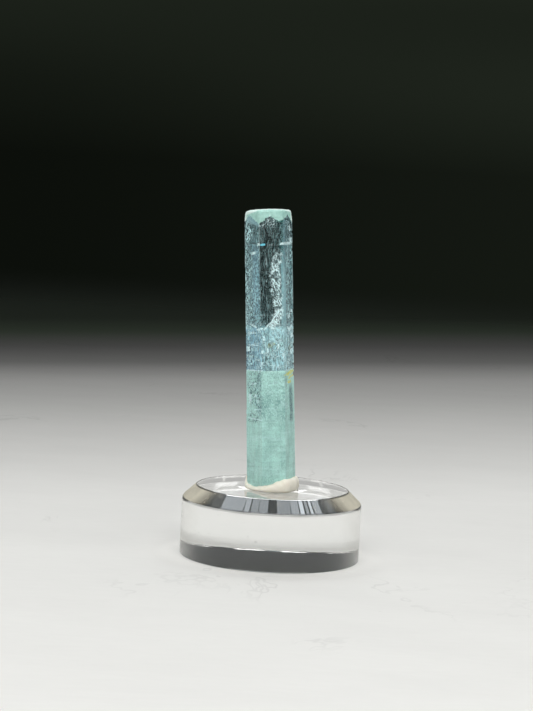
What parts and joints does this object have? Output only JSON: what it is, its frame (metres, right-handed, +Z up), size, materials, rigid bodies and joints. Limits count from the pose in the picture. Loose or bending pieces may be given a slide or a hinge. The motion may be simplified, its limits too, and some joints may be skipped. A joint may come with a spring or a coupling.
{
  "type": "green beryl crystal on an acrylic display base",
  "caption": "Slender six-sided green beryl crystal standing in white mineral putty on a clear round display base with a bevelled top edge.",
  "frame": {"origin": "middle of the display base's underside", "axes": "+Z up, out of the base's underside towards the crystal's tip; -Y out of the crystal's front face towards the viewer; +X to the viewer's right"},
  "size_m": [0.0318, 0.0318, 0.0612],
  "materials": {
    "clear_acrylic": "water-clear cast acrylic, polished",
    "white_putty": "off-white mineral putty, pressed by hand, matte",
    "green_beryl": "see-through blue-green crystal, milky towards the foot, finely striated faces and a frosted tip"
  },
  "bodies": {
    "root": {"acrylic_base": "clear_acrylic", "mineral_putty": "white_putty", "beryl_crystal": "green_beryl"}
  },
  "joints": []
}
